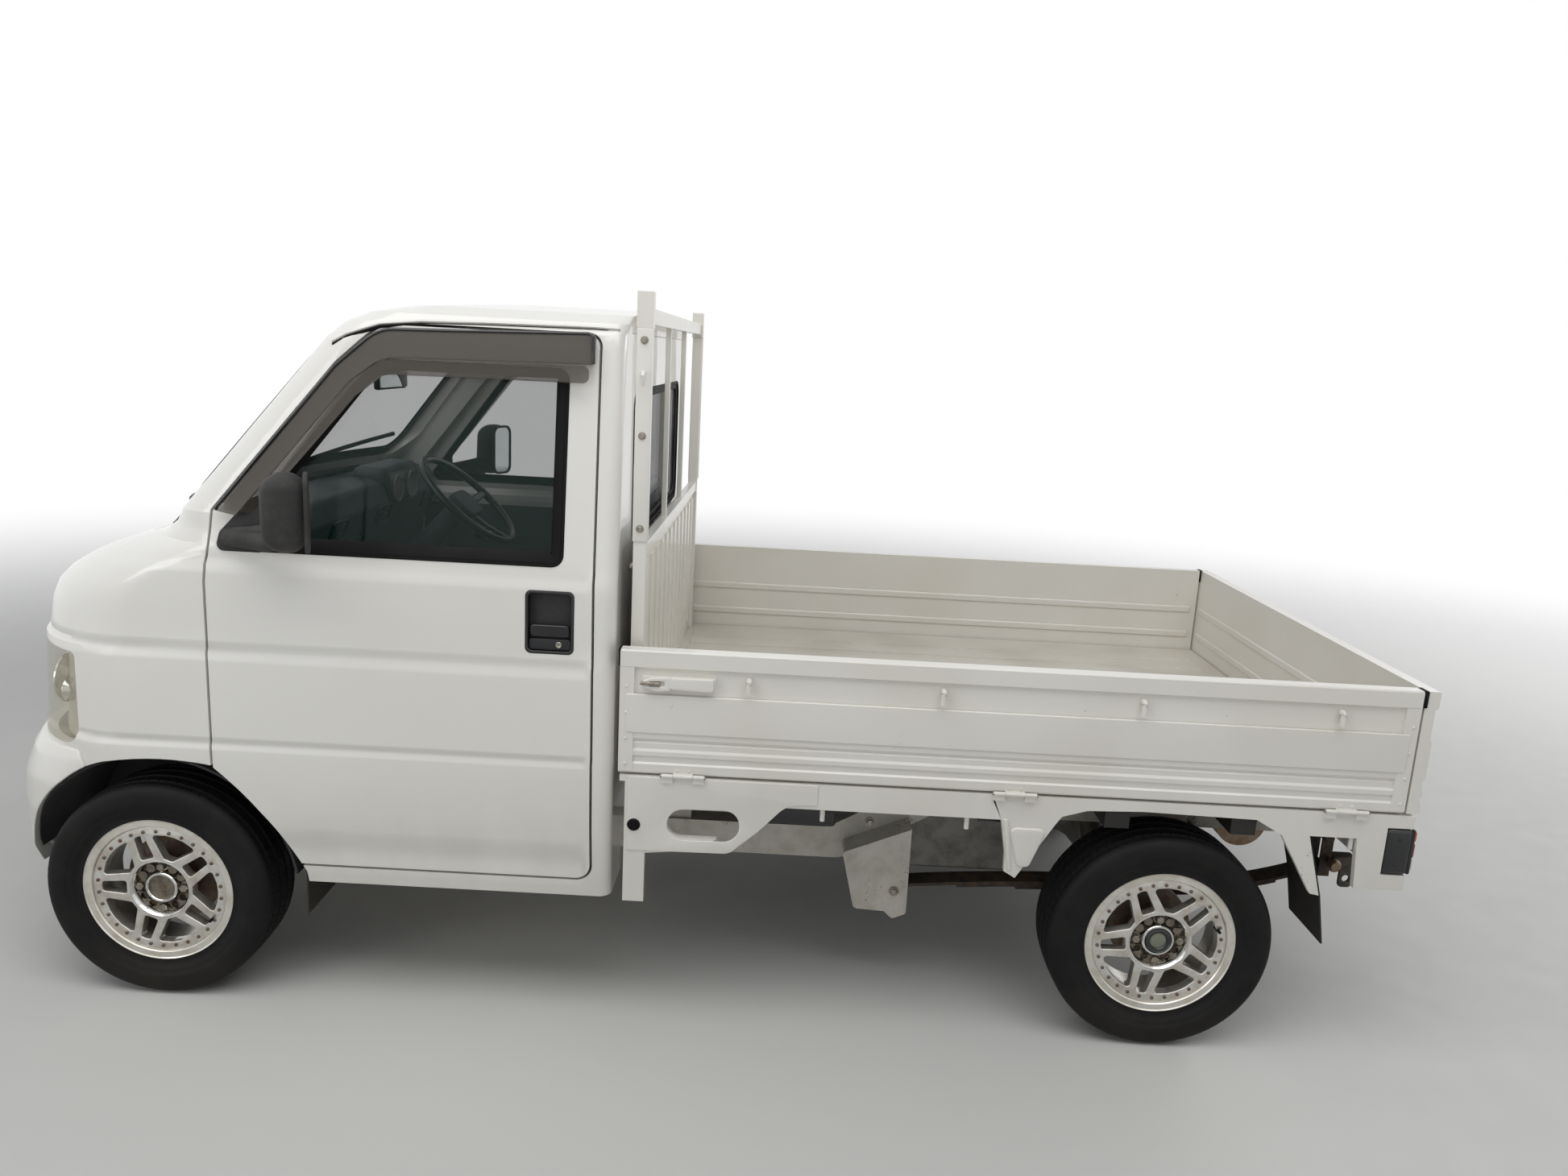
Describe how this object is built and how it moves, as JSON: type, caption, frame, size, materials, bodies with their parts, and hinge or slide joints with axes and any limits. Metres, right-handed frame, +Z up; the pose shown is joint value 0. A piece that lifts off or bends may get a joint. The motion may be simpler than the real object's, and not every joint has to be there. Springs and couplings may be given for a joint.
{
  "type": "kei truck",
  "caption": "Small two-seat pickup truck with a short semi-forward cab, drop-side flat bed with a cab guard, opening doors, lid and gates, steering and rolling wheels.",
  "frame": {"origin": "middle of the truck's length and width, on the ground", "axes": "+X forward, +Y to the vehicle's left, +Z up"},
  "size_m": [3.3936, 1.778, 1.735],
  "materials": {
    "body_paint": "gloss white enamel",
    "bed_paint": "worn gloss white enamel",
    "frame_paint": "satin white chassis paint",
    "spring_steel": "dark scaled spring steel",
    "black_steel": "satin black",
    "cast_steel": "cast, oily",
    "cast_alloy": "sand cast",
    "exhaust_steel": "dull with rust",
    "dark_plastic": "textured moulding",
    "grey_plastic": "grained moulding",
    "seat_cloth": "woven grey",
    "window_glass": "green tinted",
    "smoked_acrylic": "smoked",
    "headlamp_lens": "hazy, yellowed",
    "tail_lens": "red and black",
    "flap_rubber": "matt",
    "tyre_rubber": "matt",
    "alloy_rim": "silver with polished lip",
    "brake_iron": "machined, light rust"
  },
  "bodies": {
    "chassis": {"cab_roof": "body_paint", "cab_back": "body_paint", "cab_sides": "body_paint", "cab_floor": "body_paint", "cab_nose": "body_paint", "front_bumper": "body_paint", "bed_floor": "bed_paint", "bed_skirts": "bed_paint", "bed_guard": "bed_paint", "frame": "frame_paint", "leaf_springs": "spring_steel", "rear_axle": "black_steel", "front_suspension": "black_steel", "engine": "cast_alloy", "exhaust": "exhaust_steel", "fuel_tank": "black_steel", "arch_liners": "dark_plastic", "grilles": "dark_plastic", "dashboard": "grey_plastic", "seat_cushions": "seat_cloth", "seat_backs": "seat_cloth", "windscreen": "window_glass", "rear_window": "window_glass", "headlamps": "headlamp_lens", "tail_lamps": "tail_lens", "mud_flaps": "flap_rubber"},
    "door_left": {"door_left": "body_paint", "door_glass_left": "window_glass", "door_visor_left": "smoked_acrylic", "door_fittings_left": "dark_plastic"},
    "door_right": {"door_right": "body_paint", "door_glass_right": "window_glass", "door_visor_right": "smoked_acrylic", "door_fittings_right": "dark_plastic"},
    "front_lid": {"front_lid": "body_paint"},
    "gate_left": {"gate_left": "bed_paint"},
    "gate_right": {"gate_right": "bed_paint"},
    "tailgate": {"tailgate": "bed_paint"},
    "knuckle_left": {"knuckle_left": "cast_steel"},
    "knuckle_right": {"knuckle_right": "cast_steel"},
    "steering_wheel": {"steering_wheel": "grey_plastic"},
    "wheel_fl": {"tyre_fl": "tyre_rubber", "rim_fl": "alloy_rim", "brake_fl": "brake_iron"},
    "wheel_fr": {"tyre_fr": "tyre_rubber", "rim_fr": "alloy_rim", "brake_fr": "brake_iron"},
    "wheel_rl": {"tyre_rl": "tyre_rubber", "rim_rl": "alloy_rim", "brake_rl": "brake_iron"},
    "wheel_rr": {"tyre_rr": "tyre_rubber", "rim_rr": "alloy_rim", "brake_rr": "brake_iron"}
  },
  "joints": [
    {"name": "door_left_hinge", "type": "hinge", "parent": "chassis", "child": "door_left", "pos_m": [1.117, 0.735, 0.7], "axis": [0, 0, -1], "range_deg": [0, 65]},
    {"name": "door_right_hinge", "type": "hinge", "parent": "chassis", "child": "door_right", "pos_m": [1.117, -0.735, 0.7], "axis": [0, 0, 1], "range_deg": [0, 65]},
    {"name": "front_lid_hinge", "type": "hinge", "parent": "chassis", "child": "front_lid", "pos_m": [1.382, 0, 1.12], "axis": [0, -1, 0], "range_deg": [0, 60]},
    {"name": "gate_left_hinge", "type": "hinge", "parent": "chassis", "child": "gate_left", "pos_m": [-0.7, 0.743, 0.644], "axis": [-1, 0, 0], "range_deg": [0, 165]},
    {"name": "gate_right_hinge", "type": "hinge", "parent": "chassis", "child": "gate_right", "pos_m": [-0.7, -0.743, 0.644], "axis": [1, 0, 0], "range_deg": [0, 165]},
    {"name": "tailgate_hinge", "type": "hinge", "parent": "chassis", "child": "tailgate", "pos_m": [-1.6905, 0, 0.644], "axis": [0, -1, 0], "range_deg": [0, 165]},
    {"name": "steer_left", "type": "hinge", "parent": "chassis", "child": "knuckle_left", "pos_m": [1.2875, 0.6, 0.2725], "axis": [0, 0, 1], "range_deg": [-35, 35]},
    {"name": "steer_right", "type": "hinge", "parent": "chassis", "child": "knuckle_right", "pos_m": [1.2875, -0.6, 0.2725], "axis": [0, 0, 1], "range_deg": [-35, 35]},
    {"name": "steering_wheel_turn", "type": "hinge", "parent": "chassis", "child": "steering_wheel", "pos_m": [0.835, -0.33, 1.111], "axis": [-0.6756, 0, 0.7373], "range_deg": [-525, 525]},
    {"name": "wheel_fl_spin", "type": "hinge", "parent": "knuckle_left", "child": "wheel_fl", "pos_m": [1.2875, 0.645, 0.2725], "axis": [0, 1, 0], "continuous": true},
    {"name": "wheel_fr_spin", "type": "hinge", "parent": "knuckle_right", "child": "wheel_fr", "pos_m": [1.2875, -0.645, 0.2725], "axis": [0, 1, 0], "continuous": true},
    {"name": "wheel_rl_spin", "type": "hinge", "parent": "chassis", "child": "wheel_rl", "pos_m": [-1.1325, 0.645, 0.2725], "axis": [0, 1, 0], "continuous": true},
    {"name": "wheel_rr_spin", "type": "hinge", "parent": "chassis", "child": "wheel_rr", "pos_m": [-1.1325, -0.645, 0.2725], "axis": [0, 1, 0], "continuous": true}
  ],
  "couplings": [
    {"joint": "steer_right", "follows": "steer_left", "ratio": 1},
    {"joint": "steering_wheel_turn", "follows": "steer_left", "ratio": 15}
  ]
}
